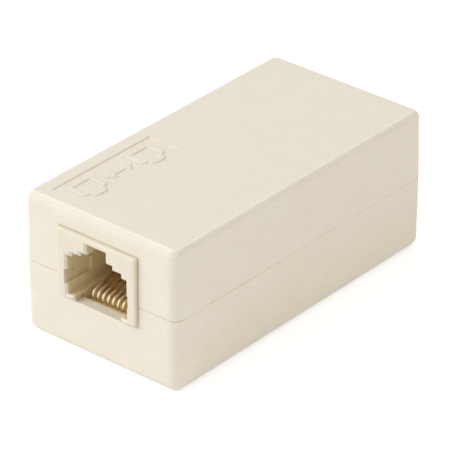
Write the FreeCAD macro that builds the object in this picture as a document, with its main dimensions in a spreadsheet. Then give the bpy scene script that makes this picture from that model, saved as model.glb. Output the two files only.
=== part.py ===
import FreeCAD, Part
import math
import os
import re

import Sketcher

# Straight inline coupler for two eight-way modular plugs, in millimetres.
# The long axis is Y, +Z is up, and the origin is at the middle of the resting face.
# Two shells snap together round a circuit board that carries one socket at each end.

doc = FreeCAD.newDocument("inline_coupler")

# Driving dimensions
SIZES = {
    # shells
    "shell_length": 60.0,
    "split_height": 12.55,
    "wall": 1.8,
    "roof": 2.0,
    "base": 2.0,
    "headroom": 1.3,
    "corner_radius": 1.75,
    "top_radius": 1.3,
    "bottom_radius": 1.55,
    "rim_ease": 0.02,
    "inner_radius": 0.8,
    "upper_draft": 1.0,
    "lower_draft": 0.7,
    "seam_gap": 0.05,
    "seam_bevel": 0.15,
    "bevel_angle": 45.0,
    "tongue_height": 1.2,
    "tongue_width": 0.8,
    "mark_side": 3.4,
    "mark_width": 7.4,
    "mark_front": 3.0,
    "mark_length": 22.2,
    "mark_sink": 0.2,
    # snap arms of the lower shell
    "snap_spread": 14.0,
    "snap_length": 6.0,
    "snap_width": 1.0,
    "snap_root": 4.5,
    "snap_rise": 4.0,
    "barb_reach": 0.6,
    "barb_height": 1.0,
    "barb_flat": 0.35,
    # circuit board and what holds it
    "board_level": 5.8,
    "board_thickness": 1.6,
    "board_end_gap": 2.2,
    "board_side_gap": 0.5,
    "board_corner": 1.0,
    "post_gap": 0.65,
    "post_inset_x": 1.9,
    "post_inset_y": 2.2,
    "post_radius": 1.6,
    "pin_radius": 0.9,
    "pin_rise": 0.9,
    "rib_width": 1.0,
    "rib_overhang": 2.65,
    "rib_front": 6.0,
    "rib_back": 15.0,
    "brace_step": 6.5,
    "brace_depth": 2.4,
    # socket housing
    "plug_width": 11.7,
    "plug_height": 6.7,
    "plug_room": 0.15,
    "cavity_depth": 12.3,
    "cheek": 1.85,
    "lintel": 1.1,
    "jack_proud": 0.7,
    "jack_edge": 0.3,
    "nose_rise": 2.0,
    "nose_round": 0.6,
    "window_gap": 0.22,
    "window_headroom": 0.12,
    "sill_gap": 0.55,
    "floor_rise": 2.5,
    "ledge_fillet": 0.25,
    "shoulder_step": 1.0,
    "shoulder_rise": 0.75,
    "latch_step": 1.8,
    "latch_rise": 0.7,
    "tab_step": 1.25,
    "tab_rise": 1.8,
    "lead_in": 0.35,
    "channel_depth": 0.45,
    "channel_level": 4.35,
    "channel_height": 2.5,
    "channel_length": 5.8,
    "channel_round": 0.6,
    "web_thickness": 1.5,
    "peg_setback": 7.5,
    "peg_inset": 1.65,
    "peg_radius": 1.25,
    "peg_length": 2.6,
    "peg_bevel": 0.35,
    "catch_setback": 2.3,
    "catch_length": 2.0,
    "catch_height": 2.0,
    "catch_level": 2.8,
    "catch_reach": 0.6,
    "catch_flat": 0.5,
    # contact wires
    "contact_count": 8,
    "contact_spacing": 1.016,
    "wire_radius": 0.23,
    "row_clearance": 1.55,
    "row_step": 2.54,
    "row_cover": 1.71,
    "tail_length": 1.2,
    "heel_radius": 0.5,
    "leg_level": 0.9,
    "hairpin_setback": 3.35,
    "hairpin_radius": 0.9,
    "rise_angle": 17.0,
    "knee_setback": 7.0,
    "knee_radius": 5.0,
    "spring_angle": 24.0,
    "wire_end_depth": 0.5,
    # contact carrier
    "carrier_front": 3.2,
    "carrier_skin": 0.65,
    "comb_edge": 0.96,
    "comb_front": 4.4,
    "comb_height": 1.6,
    "tower_cap": 1.1,
    "tower_back": 0.2,
    "slot_depth": 1.4,
    "slot_low": 2.2,
    "slot_room": 0.35,
    # solder joints
    "hole_radius": 0.4,
    "solder_radius": 0.72,
    "solder_tip": 0.36,
    "solder_height": 0.85,
    # fits, the root of a nub or arm inside what carries it, and a cut's run past its faces
    "slip": 0.1,
    "press": 0.05,
    "root": 0.9,
    "cut_past": 2.0,
}

# Places that follow from the driving dimensions, measured from the resting face or the middle
PLACES = {
    "half_length": "shell_length / 2",
    "inner_half_length": "half_length - wall",
    "board_top": "board_level + board_thickness",
    "board_half_length": "inner_half_length - board_end_gap",
    "post_y": "board_half_length - post_inset_y",
    # the plug's way in, from its floor to the step for its latch
    "cavity_half": "plug_width / 2 + plug_room",
    "shoulder_half": "cavity_half - shoulder_step",
    "latch_half": "shoulder_half - latch_step",
    "tab_half": "latch_half - tab_step",
    "cavity_floor": "board_top + floor_rise",
    "cavity_top": "cavity_floor + plug_height + plug_room",
    "shoulder_top": "cavity_top + shoulder_rise",
    "latch_top": "shoulder_top + latch_rise",
    "tab_top": "latch_top + tab_rise",
    "channel_top": "cavity_floor + channel_level",
    # the socket round it
    "jack_half": "cavity_half + cheek",
    "jack_top": "tab_top + lintel",
    "jack_front": "-half_length - jack_proud",
    "cavity_back": "jack_front + cavity_depth",
    "first_row": "cavity_back + row_clearance",
    "jack_back": "first_row + row_step + row_cover",
    "nose_bottom": "board_top + nose_rise",
    "nose_back": "-inner_half_length + slip",
    "peg_x": "jack_half - peg_inset",
    "peg_y": "jack_front + peg_setback",
    "catch_middle": "cavity_back + catch_setback + catch_length / 2",
    "catch_bottom": "board_top + catch_level",
    # the box round the sockets and the board
    "shell_height": "jack_top + headroom + roof",
    "post_x": "jack_half + post_gap + post_radius",
    "board_half_width": "post_x + post_inset_x",
    "arm_inner": "board_half_width + board_side_gap",
    "arm_outer": "arm_inner + snap_width",
    "arm_top": "split_height + snap_rise",
    "inner_half_width": "arm_outer + slip",
    "half_width": "inner_half_width + wall",
    "window_half": "jack_half + window_gap",
    "window_top": "jack_top + window_headroom",
    "window_bottom": "nose_bottom - sill_gap",
    # the wires and the comb that they lie in
    "first_contact": "-(contact_count - 1) / 2 * contact_spacing",
    "groove_half": "wire_radius + press",
    "groove_floor": "board_top + carrier_skin",
    "ledge_half": "groove_half + comb_edge - first_contact",
    "leg_height": "board_top + leg_level",
    "hairpin_middle": "jack_front + hairpin_setback + hairpin_radius",
    "hairpin_level": "leg_height + hairpin_radius",
    "crown_place": "hairpin_middle - hairpin_radius * sin(rise_angle * 1 deg)",
    "crown_level": "hairpin_level + hairpin_radius * cos(rise_angle * 1 deg)",
    "knee_place": "jack_front + knee_setback",
    "knee_level": "crown_level + (knee_place - crown_place) * tan(rise_angle * 1 deg)",
    "wire_end": "cavity_back + wire_end_depth",
    "wire_end_level": "knee_level + (wire_end - knee_place) * tan(spring_angle * 1 deg)",
    "slot_top": "wire_end_level + wire_radius + slot_room",
    "tower_top": "slot_top + tower_cap",
}


def spreadsheet(name, contents):
    """Sheet of named cells: the name in column A, the value and its alias in column B."""
    sheet = doc.addObject("Spreadsheet::Sheet", name)
    for row, (alias, content) in enumerate(contents.items(), start=1):
        sheet.set(f"A{row}", alias)
        sheet.set(f"B{row}", content)
        sheet.setAlias(f"B{row}", alias)
    doc.recompute()
    return sheet


def bound(text):
    """The expression with each plain name written as a reference to its sheet."""

    def reference(match):
        name = match.group()
        if name in SIZES:
            return f"sizes.{name}"
        return f"places.{name}" if name in PLACES else name

    return re.sub(r"[a-z][a-z_]+", reference, text)


sizes = spreadsheet("sizes", {alias: str(size) for alias, size in SIZES.items()})
places = spreadsheet("places", {alias: "=" + bound(formula) for alias, formula in PLACES.items()})


def value(text):
    """What an expression of named values comes to now."""
    return float(sizes.evalExpression(bound(text)))


# How the sketches and features are made


def new_body(label):
    body = doc.addObject("PartDesign::Body", label)
    body.Label = label
    return body


def origin_part(body, role):
    """One of the body's own origin planes or axes."""
    return next(item for item in body.Origin.OriginFeatures if item.Role == role)


def sketch_on(body, role, name, offset="0"):
    """Empty sketch on an origin plane of the body, moved along the plane's normal by an offset."""
    sketch = body.newObject("Sketcher::SketchObject", f"{body.Name}_{name}")
    sketch.AttachmentSupport = [(origin_part(body, role), "")]
    sketch.MapMode = "FlatFace"
    sketch.setExpression(".AttachmentOffset.Base.z", bound(offset))
    return sketch


def hold(sketch, kind, where, text):
    """Dimension of the sketch that takes its size from the sheet."""
    size = math.radians(value(text)) if kind == "Angle" else value(text)
    number = sketch.addConstraint(Sketcher.Constraint(kind, *where, size))
    sketch.setExpression(f"Constraints[{number}]", bound(text))


def outline(sketch, points):
    """Closed outline whose corners are pairs of expressions, each held from the sketch's origin."""
    spots = [FreeCAD.Vector(value(across), value(up), 0) for across, up in points]
    first = sketch.GeometryCount
    for start, end in zip(spots, spots[1:] + spots[:1]):
        sketch.addGeometry(Part.LineSegment(start, end))
    for index, (across, up) in enumerate(points):
        line = first + index
        before = first + (index - 1) % len(points)
        sketch.addConstraint(Sketcher.Constraint("Coincident", before, 2, line, 1))
        hold(sketch, "DistanceX", (-1, 1, line, 1), across)
        hold(sketch, "DistanceY", (-1, 1, line, 1), up)


def rectangle(sketch, left, right, bottom, top):
    outline(sketch, [(left, bottom), (right, bottom), (right, top), (left, top)])


def circle(sketch, across, up, radius):
    centre = FreeCAD.Vector(value(across), value(up), 0)
    ring = sketch.addGeometry(Part.Circle(centre, FreeCAD.Vector(0, 0, 1), value(radius)))
    hold(sketch, "DistanceX", (-1, 1, ring, 3), across)
    hold(sketch, "DistanceY", (-1, 1, ring, 3), up)
    hold(sketch, "Radius", (ring,), radius)


def rounded_rectangle(sketch, half_across, half_up, radius):
    """Rectangle about the sketch's origin whose four corners are arcs of one radius."""
    normal = FreeCAD.Vector(0, 0, 1)
    bend = value(radius)
    sides, corners = [], []
    for quarter in range(4):
        reach, run = (half_across, half_up) if quarter % 2 == 0 else (half_up, half_across)
        turn = FreeCAD.Rotation(normal, 90 * quarter)
        start, end, centre = (
            turn.multVec(FreeCAD.Vector(*spot))
            for spot in (
                (value(reach), bend - value(run)),
                (value(reach), value(run) - bend),
                (value(reach) - bend, value(run) - bend),
            )
        )
        sides.append(sketch.addGeometry(Part.LineSegment(start, end)))
        angles = math.radians(90 * quarter), math.radians(90 * quarter + 90)
        corners.append(sketch.addGeometry(Part.ArcOfCircle(Part.Circle(centre, normal, bend), *angles)))
    for quarter, (side, corner) in enumerate(zip(sides, corners)):
        upright = quarter % 2 == 0
        reach = half_across if upright else half_up
        sketch.addConstraint(Sketcher.Constraint("Tangent", side, 2, corner, 1))
        sketch.addConstraint(Sketcher.Constraint("Tangent", corner, 2, sides[(quarter + 1) % 4], 1))
        sketch.addConstraint(Sketcher.Constraint("Vertical" if upright else "Horizontal", side))
        hold(sketch, "Radius", (corner,), radius)
        hold(
            sketch,
            "DistanceX" if upright else "DistanceY",
            (-1, 1, side, 1),
            reach if quarter in (0, 1) else f"-{reach}",
        )


def extrude(body, kind, sketch, name, length, back=False, both=False, taper=None):
    """Pad or pocket of a sketch by a bound length; back turns it round, both centres it."""
    feature = body.newObject(f"PartDesign::{kind}", f"{body.Name}_{name}")
    feature.Profile = sketch
    feature.Reversed = back
    feature.SideType = "Symmetric" if both else "One side"
    feature.setExpression("Length", bound(length))
    if taper:
        feature.setExpression("TaperAngle", bound(taper))
    sketch.Visibility = False
    doc.recompute()
    return feature


def edges_of(feature, wanted):
    """Names of the feature's edges for which wanted(edge's box) is true."""
    return [f"Edge{n}" for n, edge in enumerate(feature.Shape.Edges, start=1) if wanted(edge.BoundBox)]


def soften(body, kind, feature, wanted, name, size):
    """Fillet or chamfer on the chosen edges of the body's last feature."""
    dress = body.newObject(f"PartDesign::{kind}", f"{body.Name}_{name}")
    dress.Base = (feature, edges_of(feature, wanted))
    dress.setExpression("Radius" if kind == "Fillet" else "Size", bound(size))
    doc.recompute()
    return dress


def near(number, text, within=0.01):
    return abs(number - value(text)) < within


def row_pattern(body, features, name, count, step):
    """Copies of features along +X, one step apart."""
    pattern = body.newObject("PartDesign::LinearPattern", f"{body.Name}_{name}")
    pattern.Originals = features
    pattern.Direction = (origin_part(body, "X_Axis"), [""])
    pattern.setExpression("Length", bound(f"({count} - 1) * {step}"))
    pattern.setExpression("Occurrences", bound(count))
    body.Tip = pattern
    doc.recompute()
    return pattern


def both_ends(body, features, name):
    """The same features turned half round Z, for the coupler's other end."""
    pattern = body.newObject("PartDesign::PolarPattern", f"{body.Name}_{name}")
    pattern.Originals = features
    pattern.Axis = (origin_part(body, "Z_Axis"), [""])
    pattern.Angle = 360
    pattern.Occurrences = 2
    body.Tip = pattern
    doc.recompute()
    return pattern


HALF_TURN = FreeCAD.Rotation(FreeCAD.Vector(0, 0, 1), 180)


def settle(piece, end, across="0"):
    """Puts a piece drawn at the front in its place: as drawn, or turned half round for the rear."""
    rear = end == "rear"
    piece.Placement.Rotation = HALF_TURN if rear else FreeCAD.Rotation()
    piece.setExpression(".Placement.Base.x", bound(f"-({across})" if rear else across))


# Shells


def half_shell(label, foot, height, skin, draft, edge_radius, upper):
    """Drafted tray that opens at the split, with a small bevel where it meets the other one."""
    body = new_body(label)
    shoulder = f"{foot} + seam_bevel" if upper else f"{foot} - seam_bevel"
    reach = f"({height} - seam_bevel)"
    far = "shell_height" if upper else "0"
    footprint = sketch_on(body, "XY_Plane", "footprint", shoulder)
    rounded_rectangle(footprint, "half_width", "half_length", "corner_radius")
    block = extrude(body, "Pad", footprint, "block", reach, back=not upper, taper=f"-{draft}")
    soften(
        body,
        "Fillet",
        block,
        lambda box: near(box.ZMin, far) and near(box.ZMax, far),
        "rim",
        f"min({edge_radius}; corner_radius - {reach} * tan({draft} * 1 deg) - rim_ease)",
    )
    extrude(body, "Pad", footprint, "seam_edge", "seam_bevel", back=upper, taper="-bevel_angle")
    hollow = sketch_on(body, "XY_Plane", "hollow", foot)
    rounded_rectangle(hollow, "inner_half_width", "inner_half_length", "inner_radius")
    extrude(body, "Pocket", hollow, "cavity", f"{height} - {skin}", back=upper, taper=f"-{draft}")
    return body


def upper_shell():
    foot = "split_height + seam_gap"
    height = f"(shell_height - ({foot}))"
    body = half_shell("upper_shell", foot, height, "roof", "upper_draft", "top_radius", True)

    rebate = sketch_on(body, "XY_Plane", "rebate", foot)
    across = "inner_half_width + tongue_width + slip"
    along = "inner_half_length + tongue_width + slip"
    rectangle(rebate, f"-({across})", across, f"-({along})", along)
    extrude(body, "Pocket", rebate, "tongue_seat", "tongue_height - seam_gap", back=True)

    window = sketch_on(body, "XZ_Plane", "window")
    rectangle(window, "-window_half", "window_half", "split_height - cut_past", "window_top")
    extrude(body, "Pocket", window, "windows", "shell_length + cut_past", both=True)

    mark = sketch_on(body, "XY_Plane", "mark", "shell_height")
    rectangle(
        mark,
        "mark_side - half_width",
        "mark_side + mark_width - half_width",
        "mark_front - half_length",
        "mark_front + mark_length - half_length",
    )
    extrude(body, "Pocket", mark, "mark_recess", "mark_sink")

    catches = sketch_on(body, "XY_Plane", "catches", "arm_top - barb_height - slip")
    for side in ("", "-"):
        for end in ("", "-"):
            inner = f"{side}(inner_half_width - root)"
            outer = f"{side}(arm_outer + barb_reach + slip)"
            low = f"{end}snap_spread - snap_length / 2 - slip"
            high = f"{end}snap_spread + snap_length / 2 + slip"
            left, right = (inner, outer) if side == "" else (outer, inner)
            rectangle(catches, left, right, low, high)
    extrude(body, "Pocket", catches, "snap_catches", "barb_height + 2 * slip", back=True)

    ribs = sketch_on(body, "XY_Plane", "ribs", "jack_top + slip")
    for end in ("", "-"):
        for setback in ("rib_front", "rib_back"):
            middle = f"{end}(half_length - {setback})"
            rectangle(
                ribs,
                "-(jack_half + rib_overhang)",
                "jack_half + rib_overhang",
                f"{middle} - rib_width / 2",
                f"{middle} + rib_width / 2",
            )
    extrude(body, "Pad", ribs, "hold_down_ribs", "shell_height - roof - jack_top - slip")

    braces = sketch_on(body, "XY_Plane", "braces", "shell_height - roof - brace_depth")
    for step in ("-brace_step", "0", "brace_step"):
        rectangle(
            braces,
            "-inner_half_width",
            "inner_half_width",
            f"{step} - rib_width / 2",
            f"{step} + rib_width / 2",
        )
    extrude(body, "Pad", braces, "roof_braces", "brace_depth")

    posts = sketch_on(body, "XY_Plane", "posts", "board_top + slip")
    sockets = sketch_on(body, "XY_Plane", "sockets", "board_top + slip")
    for side in ("", "-"):
        for end in ("", "-"):
            circle(posts, f"{side}post_x", f"{end}post_y", "post_radius")
            circle(sockets, f"{side}post_x", f"{end}post_y", "pin_radius + slip")
    extrude(body, "Pad", posts, "hold_down_posts", "shell_height - roof - board_top - slip")
    extrude(body, "Pocket", sockets, "pin_sockets", "pin_rise + slip", back=True)
    return body


def lower_shell():
    body = half_shell(
        "lower_shell", "split_height", "split_height", "base", "lower_draft", "bottom_radius", False
    )

    tongue = sketch_on(body, "XY_Plane", "tongue", "split_height")
    across = "inner_half_width + tongue_width"
    along = "inner_half_length + tongue_width"
    rectangle(tongue, f"-({across})", across, f"-({along})", along)
    rectangle(
        tongue, "-inner_half_width", "inner_half_width", "-inner_half_length", "inner_half_length"
    )
    extrude(body, "Pad", tongue, "tongue_ring", "tongue_height")

    window = sketch_on(body, "XZ_Plane", "window")
    rectangle(
        window, "-window_half", "window_half", "window_bottom", "split_height + 2 * tongue_height"
    )
    windows = extrude(body, "Pocket", window, "windows", "shell_length + cut_past", both=True)
    soften(
        body,
        "Fillet",
        windows,
        lambda box: near(box.ZMax, "window_bottom")
        and near(abs(box.XMin), "window_half")
        and near(box.XLength, "0"),
        "window_corners",
        "nose_round + window_gap",
    )

    standoffs = sketch_on(body, "XY_Plane", "standoffs", "base")
    pins = sketch_on(body, "XY_Plane", "pins", "board_level")
    for side in ("", "-"):
        for end in ("", "-"):
            circle(standoffs, f"{side}post_x", f"{end}post_y", "post_radius")
            circle(pins, f"{side}post_x", f"{end}post_y", "pin_radius")
    extrude(body, "Pad", standoffs, "board_standoffs", "board_level - base")
    extrude(body, "Pad", pins, "board_pins", "board_thickness + pin_rise")

    bearer = sketch_on(body, "XY_Plane", "bearer", "base")
    for step in ("-brace_step", "0", "brace_step"):
        rectangle(
            bearer,
            "-inner_half_width",
            "inner_half_width",
            f"{step} - rib_width / 2",
            f"{step} + rib_width / 2",
        )
    extrude(body, "Pad", bearer, "board_bearers", "board_level - base - slip")

    arms = sketch_on(body, "XZ_Plane", "arms", "-snap_spread")
    for side in ("", "-"):
        outline(
            arms,
            [
                (f"{side}arm_inner", "split_height - snap_root"),
                (f"{side}arm_inner", "arm_top"),
                (f"{side}arm_outer", "arm_top"),
                (f"{side}(arm_outer + barb_reach)", "arm_top - barb_height + barb_flat"),
                (f"{side}(arm_outer + barb_reach)", "arm_top - barb_height"),
                (f"{side}arm_outer", "arm_top - barb_height"),
                (f"{side}arm_outer", "split_height - slip"),
                (f"{side}(inner_half_width + root)", "split_height - slip"),
                (f"{side}(inner_half_width + root)", "split_height - snap_root"),
            ],
        )
    pair = extrude(body, "Pad", arms, "snap_arms", "snap_length", both=True)
    both_ends(body, [pair], "snap_arms_both_ends")
    return body


# Socket at one end: housing, contact carrier and wires


def mouth_outline(margin):
    """The plug's stepped opening, both halves, widened all round by a margin."""
    steps = [
        ("ledge_half", f"board_top - slip - {margin}"),
        ("ledge_half", f"cavity_floor - {margin}"),
        ("cavity_half", f"cavity_floor - {margin}"),
        ("cavity_half", f"cavity_top + {margin}"),
        ("shoulder_half", f"cavity_top + {margin}"),
        ("shoulder_half", f"shoulder_top + {margin}"),
        ("latch_half", f"shoulder_top + {margin}"),
        ("latch_half", f"latch_top + {margin}"),
        ("tab_half", f"latch_top + {margin}"),
        ("tab_half", f"tab_top + {margin}"),
    ]
    right = [(f"{across} + {margin}", up) for across, up in steps]
    left = [(f"-({across} + {margin})", up) for across, up in reversed(steps)]
    return right + left


def jack_housing(end):
    """Frame that the plug enters: a stepped opening, side channels, open below for the carrier."""
    body = new_body(f"{end}_jack_housing")

    trunk = sketch_on(body, "XZ_Plane", "trunk", "-nose_back")
    rectangle(trunk, "-jack_half", "jack_half", "board_top", "jack_top")
    extrude(body, "Pad", trunk, "trunk_block", "jack_back - nose_back", back=True)
    nose = sketch_on(body, "XZ_Plane", "nose", "-nose_back")
    rectangle(nose, "-jack_half", "jack_half", "nose_bottom", "jack_top")
    block = extrude(body, "Pad", nose, "nose_block", "nose_back - jack_front")
    corners = soften(
        body,
        "Fillet",
        block,
        lambda box: near(box.ZMax, "nose_bottom")
        and near(abs(box.XMin), "jack_half")
        and near(box.XLength, "0"),
        "bottom_corners",
        "nose_round",
    )
    soften(
        body,
        "Fillet",
        corners,
        lambda box: near(box.YMin, "jack_front") and near(box.YMax, "jack_front"),
        "front_edges",
        "jack_edge",
    )

    flare = sketch_on(body, "XZ_Plane", "flare", "-jack_front")
    outline(flare, mouth_outline("lead_in"))
    extrude(body, "Pocket", flare, "lead_in", "lead_in", taper="-bevel_angle")
    mouth = sketch_on(body, "XZ_Plane", "mouth", "-jack_front")
    outline(mouth, mouth_outline("0"))
    cavity = extrude(body, "Pocket", mouth, "plug_cavity", "cavity_depth")
    soften(
        body,
        "Fillet",
        cavity,
        lambda box: box.YLength > value("cavity_depth") / 2
        and near(box.ZMin, "cavity_floor")
        and near(abs(box.XMin), "cavity_half"),
        "ledge_fillets",
        "ledge_fillet",
    )

    channel = sketch_on(body, "YZ_Plane", "channel")
    rectangle(
        channel,
        "jack_front - cut_past",
        "jack_front + channel_length",
        "channel_top - channel_height",
        "channel_top",
    )
    channels = extrude(
        body, "Pocket", channel, "side_channels", "2 * (cavity_half + channel_depth)", both=True
    )
    soften(
        body,
        "Fillet",
        channels,
        lambda box: near(box.YMin, "jack_front + channel_length")
        and near(box.ZLength, "0")
        and near(box.XLength, "channel_depth"),
        "channel_ends",
        "channel_round",
    )

    seat = sketch_on(body, "XZ_Plane", "tower_seat", "-cavity_back")
    rectangle(seat, "-cavity_half", "cavity_half", "board_top - slip", "tower_top + slip")
    extrude(body, "Pocket", seat, "tower_room", "jack_back - cavity_back + cut_past")
    shaft = sketch_on(body, "XZ_Plane", "hollow_back", "-(cavity_back + web_thickness)")
    rectangle(shaft, "-cavity_half", "cavity_half", "tower_top", "tab_top")
    extrude(body, "Pocket", shaft, "hollow", "jack_back - cavity_back")

    catch = sketch_on(body, "YZ_Plane", "catch")
    rectangle(
        catch,
        "catch_middle - catch_length / 2 - slip",
        "catch_middle + catch_length / 2 + slip",
        "catch_bottom - slip",
        "catch_bottom + catch_height + slip",
    )
    extrude(body, "Pocket", catch, "catch_windows", "2 * jack_half + cut_past", both=True)

    pegs = sketch_on(body, "XY_Plane", "pegs", "board_top")
    for side in ("", "-"):
        circle(pegs, f"{side}peg_x", "peg_y", "peg_radius")
    stubs = extrude(body, "Pad", pegs, "board_pegs", "peg_length", back=True)
    soften(
        body,
        "Chamfer",
        stubs,
        lambda box: near(box.ZMin, "board_top - peg_length") and near(box.ZLength, "0"),
        "peg_tips",
        "peg_bevel",
    )
    settle(body, end)
    return body


def contact_carrier(end):
    """Comb that the wires lie in: a grooved floor between the ledges and a slotted tower behind."""
    body = new_body(f"{end}_contact_carrier")

    floor = sketch_on(body, "XY_Plane", "floor", "board_top")
    rectangle(
        floor,
        "slip - ledge_half",
        "ledge_half - slip",
        "jack_front + carrier_front",
        "cavity_back + slip",
    )
    extrude(body, "Pad", floor, "floor_plate", "carrier_skin")
    comb = sketch_on(body, "XY_Plane", "comb", "board_top")
    rectangle(
        comb,
        "slip - ledge_half",
        "ledge_half - slip",
        "jack_front + comb_front",
        "cavity_back + slip",
    )
    extrude(body, "Pad", comb, "comb_block", "comb_height")
    tower = sketch_on(body, "XY_Plane", "tower", "board_top")
    rectangle(
        tower,
        "slip - cavity_half",
        "cavity_half - slip",
        "cavity_back + slip",
        "jack_back - tower_back",
    )
    extrude(body, "Pad", tower, "tower_block", "tower_top - board_top")

    nubs = sketch_on(body, "XZ_Plane", "nubs", "-catch_middle")
    for side in ("", "-"):
        outline(
            nubs,
            [
                (f"{side}(cavity_half - root)", "catch_bottom"),
                (f"{side}(cavity_half + catch_reach)", "catch_bottom"),
                (f"{side}(cavity_half + catch_reach)", "catch_bottom + catch_flat"),
                (f"{side}(cavity_half - slip)", "catch_bottom + catch_height"),
                (f"{side}(cavity_half - root)", "catch_bottom + catch_height"),
            ],
        )
    extrude(body, "Pad", nubs, "catch_nubs", "catch_length", both=True)

    left = "first_contact - groove_half"
    right = "first_contact + groove_half"
    groove = sketch_on(body, "XY_Plane", "groove", "groove_floor")
    rectangle(groove, left, right, "jack_front + comb_front - cut_past", "cavity_back + slip")
    open_groove = extrude(body, "Pocket", groove, "wire_groove", "comb_height", back=True)
    tunnel = sketch_on(body, "XY_Plane", "tunnel", "groove_floor")
    rectangle(tunnel, left, right, "cavity_back", "first_row + row_step + groove_half")
    below = extrude(
        body, "Pocket", tunnel, "wire_tunnel", "leg_height + groove_half - groove_floor", back=True
    )
    slot = sketch_on(body, "XY_Plane", "slot", "board_top + slot_low")
    rectangle(slot, left, right, "cavity_back - cut_past", "cavity_back + slip + slot_depth")
    guide = extrude(body, "Pocket", slot, "wire_slot", "slot_top - board_top - slot_low", back=True)
    row_pattern(body, [open_groove, below, guide], "wire_ways", "contact_count", "contact_spacing")

    for row, start in enumerate(("first_contact", "first_contact + contact_spacing")):
        place = f"first_row + {row} * row_step"
        hole = sketch_on(body, "XY_Plane", f"tail_{row}", "board_top - slip")
        rectangle(
            hole,
            f"{start} - groove_half",
            f"{start} + groove_half",
            f"{place} - heel_radius - slip * 2",
            f"{place} + groove_half",
        )
        way = extrude(body, "Pocket", hole, f"tail_way_{row}", "carrier_skin + 2 * slip", back=True)
        row_pattern(body, [way], f"tail_ways_{row}", "contact_count / 2", "2 * contact_spacing")
    settle(body, end)
    return body


def contact(end, number):
    """Spring wire: a soldered tail, a leg under the comb, a hairpin and a rising free arm."""
    body = new_body(f"{end}_contact_{number}")
    row = f"first_row + {(number - 1) % 2} * row_step"
    tail_y = value(row)
    leg_z = value("leg_height")
    heel_bend = value("heel_radius")
    hairpin_bend = value("hairpin_radius")
    knee_bend = value("knee_radius")
    rise = value("rise_angle")
    slope = value("spring_angle")
    up = FreeCAD.Vector(0, 0, 1)

    def direction(degrees):
        return FreeCAD.Rotation(up, degrees).multVec(FreeCAD.Vector(1, 0, 0))

    def across(degrees):
        return FreeCAD.Rotation(up, degrees + 90).multVec(FreeCAD.Vector(1, 0, 0))

    def arc(centre, radius, start, stop):
        """Arc from start to stop degrees, anticlockwise."""
        full = Part.Circle(centre, up, radius)
        return Part.ArcOfCircle(full, math.radians(start), math.radians(stop))

    tail_tip = FreeCAD.Vector(tail_y, value("board_level - tail_length"), 0)
    heel_centre = FreeCAD.Vector(tail_y - heel_bend, leg_z - heel_bend, 0)
    hairpin_centre = FreeCAD.Vector(value("hairpin_middle"), value("hairpin_level"), 0)
    crown = hairpin_centre + across(rise) * hairpin_bend
    knee_start = crown + direction(rise) * ((value("knee_place") - crown.x) / direction(rise).x)
    knee_centre = knee_start + across(rise) * knee_bend
    knee_end = knee_centre - across(slope) * knee_bend
    free_end = knee_end + direction(slope) * ((value("wire_end") - knee_end.x) / direction(slope).x)

    path = sketch_on(body, "YZ_Plane", "path")
    tail, heel_arc, leg, hairpin, riser, knee, spring = path.addGeometry(
        [
            Part.LineSegment(tail_tip, FreeCAD.Vector(tail_y, heel_centre.y, 0)),
            arc(heel_centre, heel_bend, 0, 90),
            Part.LineSegment(
                FreeCAD.Vector(heel_centre.x, leg_z, 0), FreeCAD.Vector(hairpin_centre.x, leg_z, 0)
            ),
            arc(hairpin_centre, hairpin_bend, 90 + rise, 270),
            Part.LineSegment(crown, knee_start),
            arc(knee_centre, knee_bend, rise - 90, slope - 90),
            Part.LineSegment(knee_end, free_end),
        ]
    )
    for joint in (
        (tail, 2, heel_arc, 1),
        (heel_arc, 2, leg, 1),
        (leg, 2, hairpin, 2),
        (hairpin, 1, riser, 1),
        (riser, 2, knee, 1),
        (knee, 2, spring, 1),
    ):
        path.addConstraint(Sketcher.Constraint("Tangent", *joint))
    path.addConstraint(Sketcher.Constraint("Vertical", tail))
    path.addConstraint(Sketcher.Constraint("Horizontal", leg))
    hold(path, "DistanceX", (-1, 1, tail, 1), row)
    hold(path, "DistanceY", (-1, 1, tail, 1), "board_level - tail_length")
    hold(path, "DistanceY", (-1, 1, leg, 1), "leg_height")
    hold(path, "Radius", (heel_arc,), "heel_radius")
    hold(path, "Radius", (hairpin,), "hairpin_radius")
    hold(path, "DistanceX", (-1, 1, hairpin, 3), "hairpin_middle")
    hold(path, "Radius", (knee,), "knee_radius")
    hold(path, "DistanceX", (-1, 1, knee, 1), "knee_place")
    hold(path, "DistanceX", (-1, 1, spring, 2), "wire_end")
    hold(path, "Angle", (-1, 1, riser, 1), "rise_angle * 1 deg")
    hold(path, "Angle", (-1, 1, spring, 1), "spring_angle * 1 deg")

    section = sketch_on(body, "XY_Plane", "section", "board_level - tail_length")
    circle(section, "0", row, "wire_radius")
    wire = body.newObject("PartDesign::AdditivePipe", f"{body.Name}_wire")
    wire.Profile = section
    wire.Spine = (path, [f"Edge{n}" for n in range(1, 8)])
    doc.recompute()
    settle(body, end, f"first_contact + {number - 1} * contact_spacing")
    return body


# Circuit board and solder


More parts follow.
